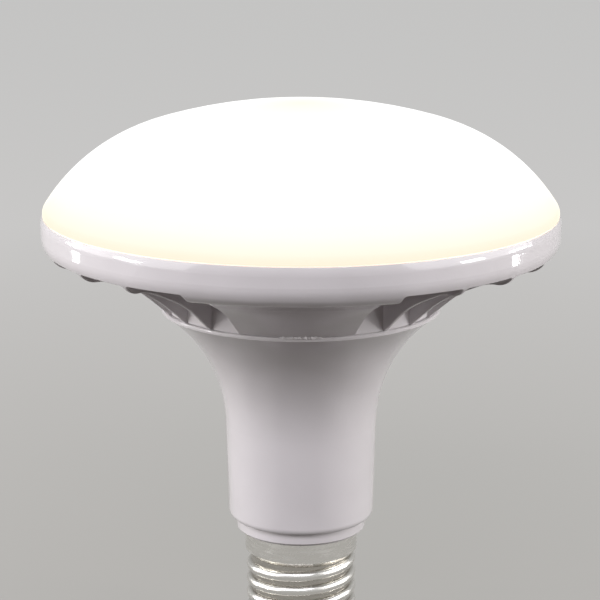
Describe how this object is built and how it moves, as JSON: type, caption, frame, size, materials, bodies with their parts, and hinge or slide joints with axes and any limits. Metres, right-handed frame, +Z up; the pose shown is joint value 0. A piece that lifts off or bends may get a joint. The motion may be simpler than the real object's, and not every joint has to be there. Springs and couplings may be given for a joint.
{
  "type": "led dish lamp",
  "caption": "Dish-shaped LED lamp: lit opal dome on a finned white dish, on a trumpet neck with a screw cap.",
  "frame": {"origin": "tip of the centre contact, on the lamp's axis", "axes": "+Z up the axis from the cap to the dome; the middle of the smooth front panel faces -Y"},
  "size_m": [0.12, 0.12, 0.1291],
  "materials": {
    "opal_dome": "opal, polished",
    "sealant": "matt bead",
    "white_dish": "polished moulding",
    "white_neck": "polished moulding",
    "plated_cap": "nickel plated",
    "black_insulator": "glossy",
    "contact_brass": "bright",
    "spreader_aluminium": "pressed sheet",
    "board_white": "white solder mask",
    "phosphor": "phosphor",
    "screw_steel": "zinc plated",
    "terminal_white": "moulded",
    "lead_red": "insulated wire",
    "lead_black": "insulated wire",
    "lead_brown": "insulated wire",
    "lead_blue": "insulated wire",
    "board_green": "solder mask",
    "capacitor_sleeve": "shrunk sleeve",
    "ferrite": "ferrite and tape",
    "film_yellow": "moulded case",
    "resistor_green": "coated",
    "package_black": "moulded package"
  },
  "bodies": {
    "root": {"diffuser": "opal_dome", "diffuser_bead": "sealant", "dish_housing": "white_dish", "neck": "white_neck", "screw_shell": "plated_cap", "cap_insulator": "black_insulator", "centre_contact": "contact_brass", "heat_spreader": "spreader_aluminium", "led_board": "board_white", "led_chips": "phosphor", "board_screws": "screw_steel", "neck_screws": "screw_steel", "terminal_block": "terminal_white", "positive_lead": "lead_red", "negative_lead": "lead_black", "line_lead": "lead_brown", "neutral_lead": "lead_blue", "driver_board": "board_green", "smoothing_capacitor": "capacitor_sleeve", "transformer": "ferrite", "film_capacitor": "film_yellow", "fuse_resistor": "resistor_green", "bridge_rectifier": "package_black", "driver_chip": "package_black"}
  },
  "joints": []
}
